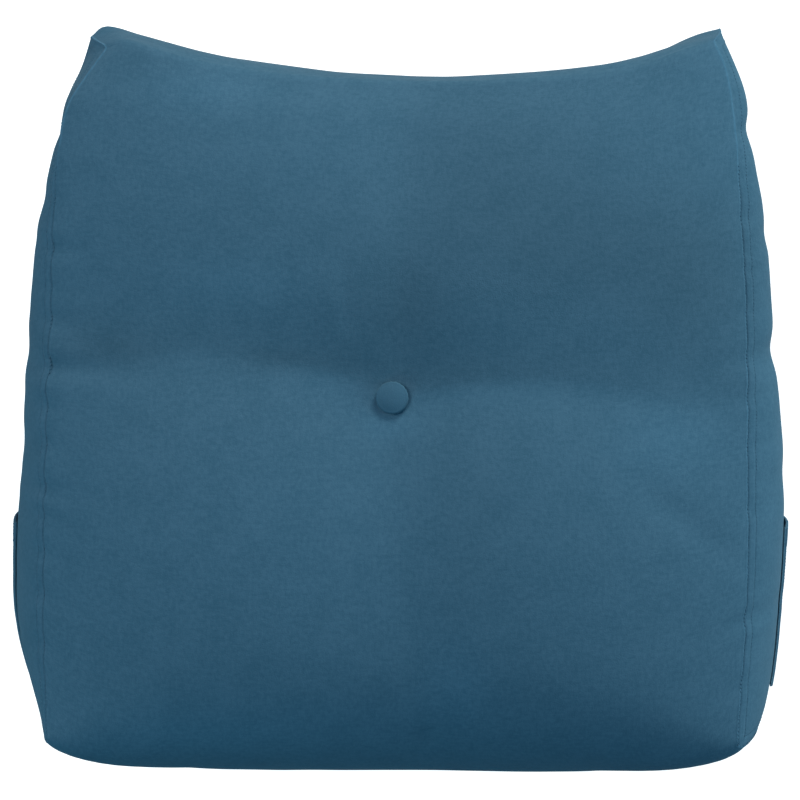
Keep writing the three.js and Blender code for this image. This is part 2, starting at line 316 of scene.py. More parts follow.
def mapCloth(mesh, flat):  # the cloth's map, from a flat place for each point of the mesh
    order = np.empty(len(mesh.loops), np.int32)
    mesh.loops.foreach_get("vertex_index", order)
    mesh.uv_layers.new(name="cloth").data.foreach_set("uv", (flat[order] * mm).astype(np.float32).ravel())


def setInputs(node, values):
    for socket, value in values.items():
        node.inputs[socket].default_value = value


# filling: a cloth run of the cover under pressure, held at its seams, its flat back and under its button
filling = {
    "across": 72, "up": 70, "through": 20, "frames": 20, "quality": 6, "pressure": 1.0, "vertexMass": 0.002,
    "stiffness": 12.0, "shear": 4.0, "bending": 0.4, "pin": 1.0, "hold": 0.05, "sideSlack": 0.002,
    "cap": 4.0, "seat": 21, "settle": 6,
}


def settled(grid, moved, held):  # evens out the fine wrinkles between the held places
    start, end = np.unique(np.concatenate([grid["quads"][:, [i, i - 1]] for i in range(4)]), axis=0).T
    near = np.bincount(start, minlength=len(moved))[:, None]
    for _ in range(filling["settle"]):
        around = np.stack([np.bincount(start, moved[end, axis], len(moved)) for axis in range(3)], 1) / near
        moved = np.where((held < 1)[:, None], (moved + around) / 2, moved)
    return moved


def runFilling():
    f = filling
    grid = skinGrid(np.linspace(-1, 1, f["across"] + 1), np.linspace(-1, 1, f["up"] + 1),
                    np.tile(np.linspace(-1, 1, f["through"] + 1), (f["up"] + 1, 1)))
    u, v, w = grid["place"]
    rest = coverPoint(u, v, w) + shift
    run = addPiece("filling_run", meshFrom("filling_run", rest, grid["quads"]))
    onSide = np.abs(u) == 1
    onSeam = onSide & ((np.abs(v) == 1) | (np.abs(w) == 1))
    seat = (np.linalg.norm(rest - buttonSeat() - shift, axis=1) < f["seat"]) & (w == 1)
    under = (w == -1) & (np.abs(u) < cover["backFlat"] - cover["backDraw"])
    held = np.where(onSeam | seat | under, 1.0, f["hold"])
    taut = np.where(onSide, 0.0, 1.0)  # only the side panels are cut with slack
    for name, weights in (("held", held), ("taut", taut)):
        group = run.vertex_groups.new(name=name)
        for value in np.unique(weights):
            group.add(np.nonzero(weights == value)[0].tolist(), float(value), "REPLACE")
    cloth = run.modifiers.new("filling", "CLOTH")
    s = cloth.settings
    s.quality, s.mass = f["quality"], f["vertexMass"]
    s.tension_stiffness = s.compression_stiffness = f["stiffness"]
    s.shear_stiffness, s.bending_stiffness = f["shear"], f["bending"]
    s.vertex_group_mass, s.pin_stiffness = "held", f["pin"]
    s.vertex_group_shrink, s.shrink_min, s.shrink_max = "taut", -f["sideSlack"], 0.0
    s.use_pressure, s.uniform_pressure_force = True, f["pressure"]
    s.effector_weights.gravity = 0
    cloth.collision_settings.use_collision = False
    for number in range(1, f["frames"] + 1):
        scene.frame_set(number)
    filled = run.evaluated_get(bpy.context.evaluated_depsgraph_get()).data
    moved = readVectors(filled.vertices, "co") / mm - rest
    bpy.data.objects.remove(run)
    scene.frame_set(1)
    length = np.linalg.norm(moved, axis=1)
    print("filling run, movement mm: mean", length.mean().round(2), "most", length.max().round(2))
    moved *= (f["cap"] * np.tanh(length / f["cap"]) / np.maximum(length, tiny))[:, None]
    return grid, settled(grid, moved, held)


coarse, fillMove = runFilling()


# the cover's fine mesh, with closer lines along the seams
coverMesh = {
    "acrossEdges": [0, 0.4, 0.8, 1.3, 1.9, 2.6, 3.5, 4.7, 6.3, 8.5, 11.5], "acrossCells": 132,
    "upEdges": [0, 0.6, 1.2, 1.9, 2.7, 3.6, 4.6, 5.7, 6.8, 7.6, 8.4, 9.4, 11, 13.5, 17], "upCells": 128,
    "throughEdges": [0, 0.5, 1, 1.6, 2.3, 3.1, 4, 5, 6, 7, 7.6, 8.3, 9, 10, 12], "throughCells": 30,
    "sideSamples": 241,
}


def fineGrid():
    m = coverMesh
    halfUp, halfAcross = cover["backHeight"] / 2, levels[:, 1:3].mean()
    us = edgeLines(2 * halfAcross, m["acrossEdges"], m["acrossCells"]) / halfAcross - 1
    vs = edgeLines(2 * halfUp, m["upEdges"], m["upCells"]) / halfUp - 1
    t = np.sin(np.linspace(-1, 1, m["sideSamples"]) * math.pi / 2)
    ws = []
    for v in vs:  # the lines keep their distance from the seams while the side panel tapers
        points = np.stack([coverPoint(-1, v, t), coverPoint(1, v, t)])
        run = np.append(0, np.cumsum(np.linalg.norm(np.diff(points, axis=1), axis=2).mean(0)))
        ws.append(np.interp(edgeLines(run[-1], m["throughEdges"], m["throughCells"]), run, t))
    return skinGrid(us, vs, np.array(ws))


def wrapLoop(grid):  # the points round the wrap panel, from the foot of the back, and where each line lies
    n, vs, ws = grid["number"], grid["vs"], grid["ws"]
    up, base, top = cover["backHeight"] / 2, cover["baseDepth"] / 2, cover["topDepth"] / 2
    rows = [n[:, 0], n[:, 1:, -1], n[:, -1, -2::-1], n[:, -2:0:-1, 0]]
    overBase = (ws[0] + 1) * base
    overFront = 2 * base + (vs[1:] + 1) * up
    overTop = 2 * base + 2 * up + (1 - ws[-1, -2::-1]) * top
    overBack = 2 * base + 2 * up + 2 * top + (1 - vs[-2:0:-1]) * up
    lines = np.concatenate([overBase, overFront, overTop, overBack])
    return np.concatenate(rows, 1), lines, 2 * base + 4 * up + 2 * top


def carryFilling(grid):  # the filling run's movement, read smoothly on a finer grid
    moved = np.zeros((grid["number"].max() + 1, 3))
    loopFrom, linesFrom, length = wrapLoop(coarse)
    loopTo, linesTo, _ = wrapLoop(grid)
    around = carry(fillMove[loopFrom], coarse["us"], grid["us"]).swapaxes(0, 1)
    around = np.concatenate([around[-2:], around, around[:2]])
    linesFrom = np.concatenate([linesFrom[-2:] - length, linesFrom, linesFrom[:2] + length])
    moved[loopTo] = carry(around, linesFrom, linesTo).swapaxes(0, 1)
    for side in (0, -1):
        rows = carry(fillMove[coarse["number"][side]], coarse["vs"], grid["vs"])
        for j, row in enumerate(rows):
            moved[grid["number"][side, j]] = carry(row, coarse["ws"][0], grid["ws"][j])
    return moved


def runAlong(points, axis):  # length along each line of points, from its start
    steps = np.linalg.norm(np.diff(points, axis=axis), axis=-1)
    return np.concatenate([np.zeros_like(np.take(steps, [0], axis)), np.cumsum(steps, axis)], axis)


def toEnds(run, axis):  # distance to the nearer end of each line
    return np.minimum(run, np.take(run, [-1], axis) - run)


# seams: a fine groove between low ridges of turned-in cloth,
# and a row of stitches that holds it on the side panels
seam = {
    "groove": 0.35, "grooveWidth": 0.7, "ridge": 0.45, "ridgeAt": 1.9, "ridgeWidth": 1.2,
    "allowance": 7.0, "allowanceRise": 0.3, "allowanceSlope": 2.2, "allowancePast": 1.2,
    "stitchDent": 0.15, "stitchAt": 7.8, "stitchWidth": 1.2, "stitchEnd": 0.5,
    "earRidge": 0.9, "earRidgeWidth": 1.2, "earFrom": 0.74, "earFull": 0.9,
    # painted highlight along the seams: its strength at the ears and on the right, its distance from the seam
    # and its width
    "earLight": (0.3, 0.35), "rightLight": 0.25, "lightAt": 0.8, "lightWidth": 1.0,
    # the groove on the right is deepest at one level
    "rightLeast": 0.4, "rightDeepAt": 0.6, "rightDeepReach": 0.14,
    # how the seams stray: rate up the cushion, start, change across and share of each wave
    "wander": 0.35, "wanderReach": 20, "wanderEnd": 8, "jog": 0.6,
    "waves": [(17, 0, 2, 1), (41, 1.3, 3, 0.6), (83, 0, 1, 0.4)], "waveScale": 1.4,
}

# the corners of the ears, rounded and turned out:
# place across, reach, way across and up, and reach of the seam's soft end
ears = [(-0.965, 9, -1.2, 2.6, 7), (0.965, 20, 0.8, 1.8, 6)]

# short puckers along the seams: rise up the cushion, half width,
# depth and reach on the front, depth and reach on the side
seamPuckers = {
    "left": [
        (0.86, 7, 0.5, 14, 1.0, 14), (0.77, 6, 0.5, 14, 0.8, 14), (0.7, 7, 1.4, 22, 0.9, 14),
        (0.645, 6, 0.6, 14, 0.6, 12), (0.597, 7, 1.2, 20, 0.9, 14), (0.53, 8, 3.0, 46, 1.5, 16),
        (0.473, 6, 0.8, 14, 1.5, 14), (0.42, 7, 1.2, 16, 1.6, 16), (0.357, 7, 1.6, 22, 1.8, 16),
        (0.32, 5, 0.7, 14, 1.0, 12), (0.268, 7, 1.0, 18, 2.0, 14), (0.208, 7, 0.8, 16, 1.5, 14),
        (0.139, 8, 0.7, 18, 1.3, 14),
    ],
    "right": [
        (0.868, 6, 0.3, 10, 1.2, 16), (0.8, 6, 0.3, 10, 0.6, 12), (0.743, 6, 0.4, 12, 1.4, 20),
        (0.693, 5, 0.4, 12, 1.2, 18), (0.668, 5, 0.3, 10, 1.0, 16), (0.61, 6, 0.4, 12, 0.8, 14),
        (0.545, 7, 1.0, 24, 1.0, 16), (0.49, 6, 0.8, 24, 0.7, 14), (0.42, 6, 0.4, 12, 0.6, 14),
        (0.33, 7, 0.4, 12, 0.8, 16), (0.18, 7, 1.3, 22, 1.0, 16), (0.09, 7, 0.9, 18, 0.6, 14),
    ],
}
puckerRim = {"share": 0.35, "at": 1.9}  # the cloth stands up a little on both sides of a pucker

# soft folds of the front, from the button: start, end, depth and half width
folds = [
    ((215, -72), (300, -140), 1.6, 13), ((-45, 130), (-38, 55), 0.8, 7), ((30, -285), (36, -306), 2.5, 10),
]
foldLevel = 0.5  # share of a fold's length that keeps its whole depth

# patches of painted light and shade on the front:
# place from the button, reach across and up, change of tone
paintedPatches = [
    (150, 128, 150, 62, -0.13), (6, 75, 48, 45, -0.12), (275, 85, 65, 90, -0.12), (-95, -95, 130, 110, 0.06),
    (245, -35, 48, 34, 0.13), (70, -95, 40, 80, -0.04), (-130, -275, 140, 26, 0.06),
    (-110, 225, 130, 45, 0.04), (95, 200, 90, 60, -0.07), (-165, 262, 60, 22, 0.12), (58, -240, 32, 40, 0.12),
    (-255, 48, 60, 24, -0.08), (0, -24, 26, 12, 0.12), (-135, 97, 60, 26, 0.09), (-104, 30, 42, 10, -0.12),
    (-244, 34, 40, 14, -0.08), (-170, -292, 90, 18, 0.08),
]

# painted shade above the crease across and painted light below it:
# change of tone, reach, softness of the line, and how far it goes on each side of its middle
paintedCreaseShade = {
    "above": -0.13, "below": 0.05, "reachAbove": 34, "reachBelow": 26, "soft": 6, "across": 190, "middle": 20,
}

# relief and painted light that fade towards the back: place through the cushion where it starts, and run to
# its whole size
fades = {"wander": (-0.2, 1.1), "folds": (0.5, 0.5), "painted_light": (-0.6, 1.2)}
coverLimits = {"puckersFrom": 0.2, "seamClear": 4}  # where puckers end, on the front and by a side's seam
panelMaps = {"start": 2000, "step": 500}  # places of the side panels' maps, beside the wrap's


def earShare(v):  # towards the ears the seam stands out as a ridge
    return smooth(((v + 1) / 2 - seam["earFrom"]) / (seam["earFull"] - seam["earFrom"]))


def grooveDepth(d, u, v):  # d is the distance from the seam
    s = seam
    share = mix(s["rightLeast"], 1, bell(((v + 1) / 2 - s["rightDeepAt"]) / s["rightDeepReach"]))
    return s["groove"] * np.where(u > 0, share, 1) * bell(d / s["grooveWidth"])


def wrapProfile(d, u, v):  # relief along the seams on the wrap panel
    s = seam
    sewn = s["ridge"] * bell((d - s["ridgeAt"]) / s["ridgeWidth"]) - grooveDepth(d, u, v)
    return mix(sewn, s["earRidge"] * bell(d / s["earRidgeWidth"]), earShare(v))


def sideProfile(d, u, v):  # relief along the seams on a side panel
    s = seam
    slope = s["allowanceSlope"]
    flap = s["allowanceRise"] * smooth(d / slope) * smooth((s["allowance"] + s["allowancePast"] - d) / slope)
    sewn = flap - grooveDepth(d, u, v)
    dent = s["stitchDent"] * bell((d - s["stitchAt"]) / s["stitchWidth"])
    return mix(sewn, s["earRidge"] * bell(d / s["earRidgeWidth"]), earShare(v)) - dent


def paintedSeamHighlight(d, u, v):  # painted highlight along the seams, at the ears and on the right
    s = seam
    onLeft = s["earLight"][0] * earShare(v)
    onRight = mix(s["rightLight"], s["earLight"][1], earShare(v))
    return np.where(u < 0, onLeft, onRight) * bell((d - s["lightAt"]) / s["lightWidth"])


def puckerDepth(side, v, toSeam, onFront):
    total = 0
    for rise, width, *sizes in seamPuckers[side]:
        depth, reach = sizes[:2] if onFront else sizes[2:]
        off = ((v + 1) / 2 - rise) * cover["backHeight"]
        rims = puckerRim["share"] * bell((np.abs(off) - puckerRim["at"] * width) / width)
        total = total + depth * (bell(off / width) - rims) * np.exp(-toSeam / reach)
    return total


def creaseShadeAt(x, y):  # painted shade above the crease and painted light below it; y up the slope of the front
    c = paintedCreaseShade
    off = y - readTable(creases["across"], 1, x)
    above = c["above"] * bell(off / c["reachAbove"])
    below = c["below"] * bell(off / c["reachBelow"])
    tone = np.where(off > 0, above, below) * np.tanh(np.abs(off) / c["soft"])
    return tone * bell((x - c["middle"]) / c["across"])


def foldDepth(x, y):
    total = 0
    for start, end, depth, width in folds:
        along = np.subtract(end, start)
        length = np.hypot(*along)
        t = ((x - start[0]) * along[0] + (y - start[1]) * along[1]) / length**2
        off = ((x - start[0]) * along[1] - (y - start[1]) * along[0]) / length
        past = np.maximum(0, np.abs(2 * t - 1) - foldLevel) / (1 - foldLevel)
        total = total + depth * bell(off / width) * bell(past)
    return total


def seamWander(u, v):  # how far the seams stray across the cushion, drawn towards the front at each pucker
    s = seam
    waves = sum(share * np.sin(v * rate + start + across * u) for rate, start, across, share in s["waves"])
    stray = s["wander"] * waves / s["waveScale"]
    for side, way in (("left", 1), ("right", -1)):
        stray = stray + s["jog"] * way * (u * way < 0) * puckerDepth(side, v, 0 * v, True)
    nearSeam = bell((1 - np.abs(u)) * levels[:, 1:3].mean() / s["wanderReach"])
    return stray * nearSeam * (1 - np.abs(v) ** s["wanderEnd"])


def fade(w, kind):
    start, run = fades[kind]
    return smooth((w - start) / run)


def coverRelief(grid, points, off):  # height of the seams, puckers and folds, and the painted highlight along the seams
    u, v, w = grid["place"]
    raised = np.zeros(len(points))
    light = np.zeros(len(points))
    loop = wrapLoop(grid)[0]
    onWrap = toEnds(runAlong(points[loop], 0), 0)
    raised[loop] = wrapProfile(onWrap, u[loop], v[loop])
    for side, half in (("left", u[loop] < 0), ("right", u[loop] >= 0)):
        onFront = half * (w[loop] > coverLimits["puckersFrom"])
        raised[loop] -= onFront * puckerDepth(side, v[loop], onWrap, True)
    light[loop] = paintedSeamHighlight(onWrap, u[loop], v[loop])
    raised -= foldDepth(off[:, 0], off[:, 1]) * fade(w, "folds") * (np.abs(u) < 1)
    for i, side in ((0, "left"), (-1, "right")):
        panel = grid["number"][i]
        onPanel = np.minimum(toEnds(runAlong(points[panel], 0), 0), toEnds(runAlong(points[panel], 1), 1))
        drawn = puckerDepth(side, v[panel], onPanel, False) * smooth(onPanel / coverLimits["seamClear"])
        raised[panel] = sideProfile(onPanel, u[panel], v[panel]) - drawn
    return raised, light


def coverMap(grid, points):  # the wrap panel laid out flat, with the side panels beside it
    number = grid["number"]
    loop = wrapLoop(grid)[0]
    across = runAlong(points[loop], 0)
    across = across - across[-1:] / 2
    along = np.broadcast_to(runAlong(points[loop], 1).mean(0), across.shape)
    up, through = number.shape[1:]
    flat = np.stack([across, along], -1)
    closing = np.concatenate([flat, flat[:, :1] + (0, 2 * flat[0, -1, 1] - flat[0, -2, 1])], 1)
    overBase, overFront = closing[:, :through], closing[:, through - 1:through + up - 1]
    overTop = closing[:, through + up - 2:2 * through + up - 2][:, ::-1]
    overBack = closing[:, 2 * through + up - 3:][:, ::-1]
    sides = []
    for i in (-1, 0):
        panel = points[number[i]]
        forward = panelMaps["start"] + panelMaps["step"] * i + runAlong(panel, 1)
        upward = runAlong(panel, 0).mean(1, keepdims=True) + 0 * panel[:, :, 0]
        sides.append(np.stack([forward, upward], -1))
    flats = [overFront, overBack, *sides, overBase, overTop]
    turns = [turn for _, turn in sheets(number)]
    return np.concatenate([corners(flat, turn) for flat, turn in zip(flats, turns)])


def frontPaintedShade(off):  # painted light and shade on the front, as a change of tone: the patches and the crease
    x, y = off[:, 0], off[:, 1]
    tone = 0
    for acrossAt, upAt, wide, high, change in paintedPatches:
        tone = tone + change * bell((x - acrossAt) / wide) * bell((y - upAt) / high)
    return tone + creaseShadeAt(x, y / math.cos(frontSlope))


def makeCover():
    grid = fineGrid()
    u, v, w = grid["place"]
    rest = coverPoint(u, v, w) + shift
    off = rest - buttonSeat() - shift
    points = rest + carryFilling(grid)
    points[:, 0] += seamWander(u, v) * fade(w, "wander")
    draft = meshFrom("cover_draft", points, grid["quads"])
    normals = readVectors(draft.vertex_normals, "vector")
    raised, seamHighlight = coverRelief(grid, points, off)
    for across, reach, aside, upward, tip in ears:
        raised *= 1 - bell(np.linalg.norm(rest - coverPoint(np.sign(across), 1, -1) - shift, axis=1) / tip)
        near = bell(np.linalg.norm(rest - coverPoint(across, 1, -1) - shift, axis=1) / reach)
        points += near[:, None] * (aside, upward, 0)
    points += normals * raised[:, None]
    points[:, 2] = np.maximum(points[:, 2], 0)
    mesh = meshFrom("cushion_cover", points, grid["quads"])
    layer = mesh.uv_layers.new(name="cloth")
    layer.data.foreach_set("uv", (coverMap(grid, points) * mm).astype(np.float32).ravel())
    # painted light and shade of the front and the painted highlight along the seams, kept as a point
    # attribute for the pile's colour
    painted_light = mesh.attributes.new("painted_light", "FLOAT", "POINT")
    painted_light.data.foreach_set("value", (frontPaintedShade(off) * fade(w, "painted_light") + seamHighlight).astype(np.float32))
    return grid, points, mesh


grid, coverPoints, coverFine = makeCover()
cushionCover = addPiece("cushion_cover", coverFine)
print("cover made:", len(coverFine.polygons) * 2, "triangles")


# covered button: a domed disc of cloth that is drawn tight round its rim
button = {
    "diameter": 28.5, "height": 6.6, "crown": 2.1, "domePower": 2.4, "rimRadius": 2.2, "gap": 0.6,
    "around": 72, "footRings": (0.5, 0.82), "rimSteps": 12, "domeSteps": 11,
    "tucks": 22, "tuckDepth": 0.22, "tuckReach": 3.0, "wideTucks": 13, "wideShare": 0.5, "wideStart": 1,
}


def buttonProfile():  # distance from the middle and height, from the middle of the foot to the peak
    b = button
    radius, rim = b["diameter"] / 2, b["rimRadius"]
    shoulder = radius - rim
    profile = [(0.0, 0.0)] + [(radius * share, 0.0) for share in b["footRings"]]
    for t in np.linspace(-1, 1, b["rimSteps"] + 1)[1:]:  # the rim, from its foot to its shoulder
        angle = t * math.pi / 2
        height = (b["height"] - b["crown"]) / 2 * (1 + math.sin(angle))
        profile.append((shoulder + rim * math.cos(angle), height))
    for t in np.linspace(0, 1, b["domeSteps"] + 1)[1:]:
        reach = shoulder * (1 - t)
        profile.append((reach, b["height"] - b["crown"] * (reach / shoulder) ** b["domePower"]))
    return np.array(profile)


def makeButton():
    b = button
    profile = buttonProfile()
    angle = np.linspace(0, 2 * math.pi, b["around"], endpoint=False)
    spread, height = profile[1:-1, 0][:, None], profile[1:-1, 1][:, None]
    nearRim = bell((spread - b["diameter"] / 2) / b["tuckReach"])
    gathers = np.sin(angle * b["tucks"]) + b["wideShare"] * np.sin(angle * b["wideTucks"] + b["wideStart"])
    tuck = b["tuckDepth"] * nearRim * smooth(1 - height / b["height"]) * gathers
    spread = spread - tuck
    rings = np.stack([spread * np.cos(angle), spread * np.sin(angle), height + 0 * angle], -1)
    points = np.concatenate([rings.reshape(-1, 3), [[0, 0, profile[0, 1]], [0, 0, profile[-1, 1]]]])
    ring = np.arange(len(rings) * b["around"]).reshape(len(rings), b["around"])
    ring = np.concatenate([ring, ring[:, :1]], 1)
    walls = corners(ring, -1)
    foot, peak = len(points) - 2, len(points) - 1
    caps = [(foot, ring[0, i + 1], ring[0, i]) for i in range(b["around"])]
    caps += [(peak, ring[-1, i], ring[-1, i + 1]) for i in range(b["around"])]
    turn = np.array(Matrix.Rotation(-frontSlope, 3, "X"))
    middle = buttonSeat() + shift + turn @ [0, 0, b["gap"]]
    points = points @ turn.T + middle
    mesh = bpy.data.meshes.new("covered_button")
    mesh.from_pydata((points * mm).tolist(), [], walls.tolist() + caps)
    mesh.validate()
    mesh.shade_smooth()
    mapCloth(mesh, (points - middle)[:, :2])
    return mesh, middle


buttonMesh, buttonMiddle = makeButton()
coveredButton = addPiece("covered_button", buttonMesh)
print("button made at", buttonMiddle.round(1))


# side pockets: a sheet of cloth on each side panel, sewn along three edges, with a hem along its mouth
pocket = {
    "top": 0.283, "bottom": 0.05, "back": 0.08, "front": 0.6, "gap": 0.7, "bridging": 6,
    "cloth": 1.8, "least": 0.25, "round": 1.1, "leastShoulder": 0.02,
    "ease": 6, "easeUp": 1.3, "easeAcross": 0.5,  # how far the mouth gapes, and how that grows up and across
    "hem": 0.5, "hemHeight": 17, "edgeTurn": 5.5, "edgeRise": 0.5, "foldStep": 0.8,
    "stitchIn": 4.4, "hemStitchIn": 2.4, "stitchDent": 0.5, "dentWidth": 1.1, "stitchStand": 0.15,
    "ripple": 0.35, "rippleAt": 9, "rippleRates": (23, 9), "rippleStart": 2, "rippleFrom": 1,
    "edges": [0, 0.35, 0.8, 1.4, 2.2, 3.2, 4.0, 4.8, 5.6, 7], "across": 34, "up": 52,
    "hemLines": [12, 14, 15.4, 16.2, 17, 17.8, 18.6, 20],
}


def readPanel(i, v, w):  # points of a finished side panel at the levels v and at the places w through it
    rows = carry(coverPoints[grid["number"][i]], grid["vs"], v)
    lines = carry(grid["ws"], grid["vs"], v)
    return np.stack([carry(row, line, w) for row, line in zip(rows, lines)])


def panelNormals(panel, upRun, acrossRun, turn):
    gradeUp = np.gradient(panel, axis=0) / np.gradient(upRun)[:, None, None]
    gradeAcross = np.gradient(panel, axis=1) / np.gradient(acrossRun)[None, :, None]
    normal = np.cross(gradeUp, gradeAcross) * turn
    normal /= np.linalg.norm(normal, axis=2, keepdims=True)
    for _ in range(pocket["bridging"]):  # the cloth bridges the small puckers of the panel
        normal[1:-1] = (normal[:-2] + 2 * normal[1:-1] + normal[2:]) / 4
        normal[:, 1:-1] = (normal[:, :-2] + 2 * normal[:, 1:-1] + normal[:, 2:]) / 4
    return normal / np.linalg.norm(normal, axis=2, keepdims=True)


def pocketQuads(rows, columns, turn):  # the sheet's outside, its inside and its four edges
    outside = np.arange(rows * columns).reshape(rows, columns)
    inside = outside + rows * columns
    quads = [corners(outside, turn), corners(inside, -turn)]
    for edge, flip in ((np.s_[0], 1), (np.s_[-1], -1), (np.s_[:, 0], -1), (np.s_[:, -1], 1)):
        quads.append(corners(np.stack([outside[edge], inside[edge]]), flip * turn))
    return np.concatenate(quads)


def makePocket(i, name):
    p = pocket
    turn = 1 if i == -1 else -1
    height = (p["top"] - p["bottom"]) * cover["backHeight"]
    wide = (p["front"] - p["back"]) * mix(cover["baseDepth"], cover["topDepth"], (p["top"] + p["bottom"]) / 2)
    upRun = edgeLines(height, p["edges"], p["up"])
    upRun = np.unique(np.concatenate([upRun, height - np.array(p["hemLines"], float)]).round(3))
    acrossRun = edgeLines(wide, p["edges"], p["across"])
    up, forward = upRun / height, acrossRun / wide
    v = 2 * mix(p["bottom"], p["top"], up) - 1
    w = 2 * mix(p["back"], p["front"], forward) - 1
    panel = readPanel(i, v, w)
    normal = panelNormals(panel, upRun, acrossRun, turn)

    ease = p["ease"] * up[:, None] ** p["easeUp"] * np.sin(math.pi * forward[None] ** p["easeAcross"])
    toEdge = np.minimum(np.minimum(acrossRun, wide - acrossRun)[None], upRun[:, None])
    toMouth = (height - upRun)[:, None] + 0 * acrossRun[None]
    step = p["foldStep"]
    thick = p["cloth"] + p["hem"] * smooth((p["hemHeight"] + step - toMouth) / (2 * step))
    turned = p["edgeRise"] * smooth((p["edgeTurn"] + step - toEdge) / (2 * step))
    onHemRow = bell((toMouth - p["hemHeight"] + p["hemStitchIn"]) / p["dentWidth"])
    dent = p["stitchDent"] * (bell((toEdge - p["stitchIn"]) / p["dentWidth"]) + onHemRow)
    fineRate, wideRate = p["rippleRates"]
    waves = np.sin(forward[None] * fineRate + i), np.sin(forward[None] * wideRate + p["rippleStart"])
    ripple = p["ripple"] * waves[0] * waves[1] * bell((toMouth - p["rippleAt"]) / p["rippleAt"])
    edge = np.minimum(toEdge, toMouth)
    shoulder = np.sqrt(np.clip(1 - np.clip(1 - edge / p["round"], 0, 1) ** 2, p["leastShoulder"], 1))
    inner = panel + normal * (p["gap"] + ease + np.maximum(ripple, 0) * (ease > p["rippleFrom"]))[:, :, None]
    outer = inner + normal * (p["least"] + (thick + turned - dent) * shoulder)[:, :, None]

    points = np.concatenate([outer.reshape(-1, 3), inner.reshape(-1, 3)])
    mesh = meshFrom(name, points, pocketQuads(up.size, forward.size, turn))
    flat = np.stack(np.broadcast_arrays(acrossRun[None], upRun[:, None]), -1).reshape(-1, 2)
    mapCloth(mesh, np.concatenate([flat, flat]))
    runs = (acrossRun, wide - acrossRun, upRun)
    left, right, foot = (int(np.argmin(np.abs(run - p["stitchIn"]))) for run in runs)
    onHem = int(np.argmin(np.abs(height - upRun - p["hemHeight"] + p["hemStitchIn"])))
    raised = outer + normal * p["stitchStand"]
    edgeRow = np.concatenate([raised[:foot:-1, left], raised[foot, left:right], raised[foot:, right]])
    spread = runAlong(inner, 1)[:, -1].mean(), runAlong(inner, 0)[-1].mean()
    return mesh, [edgeRow, raised[onHem, 1:-1]], tuple(float(length) * mm for length in spread)


pockets = {}
for i, side in ((0, "left"), (-1, "right")):
    name = f"pocket_{side}_sheet"
    pocketMesh, pocketRows, pocketFlat = makePocket(i, name)
    pockets[side] = {"sheet": addPiece(name, pocketMesh), "rows": pocketRows, "flat": pocketFlat}
    print("pocket made on the", side, "laid flat", [round(size, 4) for size in pocketFlat])


# stitches: one small rounded stitch, repeated along each sewn row
stitch = {
    "seam": {"pitch": 3.4, "length": 1.9, "width": 1.2, "lines": (0, 0), "stand": 0.3, "ears": False},
    "top": {"pitch": 3.0, "length": 1.8, "width": 0.7, "lines": (10, 11), "stand": 0.12, "ears": True},
}
stitchBall = {"Segments": 6, "Rings": 4, "Radius": 0.5}  # the stitch before it is drawn out to its length


def stitchTree(thread):
    tree = bpy.data.node_groups.new("stitch_rows", "GeometryNodeTree")
    tree.is_modifier = True
    tree.interface.new_socket("Rows", in_out="INPUT", socket_type="NodeSocketGeometry")
    ids = {}
    for name in ("Pitch", "Length", "Width"):
        ids[name] = tree.interface.new_socket(name, in_out="INPUT", socket_type="NodeSocketFloat").identifier
    tree.interface.new_socket("Stitches", in_out="OUTPUT", socket_type="NodeSocketGeometry")
    n = tree.nodes
    rows, out = n.new("NodeGroupInput"), n.new("NodeGroupOutput")
    curve, even = n.new("GeometryNodeMeshToCurve"), n.new("GeometryNodeResampleCurve")
    even.mode = "LENGTH"
    one, size = n.new("GeometryNodeMeshUVSphere"), n.new("ShaderNodeCombineXYZ")
    shape = n.new("GeometryNodeTransform")
    setInputs(one, stitchBall)
    tangent, align = n.new("GeometryNodeInputTangent"), n.new("FunctionNodeAlignRotationToVector")
    align.axis = "X"
    place, real = n.new("GeometryNodeInstanceOnPoints"), n.new("GeometryNodeRealizeInstances")
    soft, finish = n.new("GeometryNodeSetShadeSmooth"), n.new("GeometryNodeSetMaterial")
    setInputs(finish, {"Material": thread})
    steps = [
        (rows, "Rows", curve, "Mesh"), (curve, "Curve", even, "Curve"), (rows, "Pitch", even, "Length"),
        (rows, "Length", size, "X"), (rows, "Width", size, "Y"), (rows, "Width", size, "Z"),
        (one, "Mesh", shape, "Geometry"), (size, "Vector", shape, "Scale"),
        (tangent, "Tangent", align, "Vector"), (even, "Curve", place, "Points"),
        (shape, "Geometry", place, "Instance"), (align, "Rotation", place, "Rotation"),
        (place, "Instances", real, "Geometry"), (real, "Geometry", soft, "Geometry"),
        (soft, "Geometry", finish, "Geometry"), (finish, "Geometry", out, "Stitches"),
    ]
    for source, output, target, socket in steps:
        tree.links.new(source.outputs[output], target.inputs[socket])
    return tree, ids


def sewRows(name, rows, sewn, tree, ids):
    edges, first = [], 0
    for row in rows:
        edges += [(first + i, first + i + 1) for i in range(len(row) - 1)]
        first += len(row)
    mesh = bpy.data.meshes.new(name)
    mesh.from_pydata((np.concatenate(rows) * mm).tolist(), edges, [])
    piece = addPiece(name, mesh)
    repeat = piece.modifiers.new("stitches", "NODES")
    repeat.node_group = tree
    for key in ("Pitch", "Length", "Width"):
        repeat[ids[key]] = sewn[key.lower()] * mm
    made = bpy.data.meshes.new_from_object(piece.evaluated_get(bpy.context.evaluated_depsgraph_get()))
    piece.modifiers.remove(repeat)
    piece.data = made
    made.name = name
    return piece


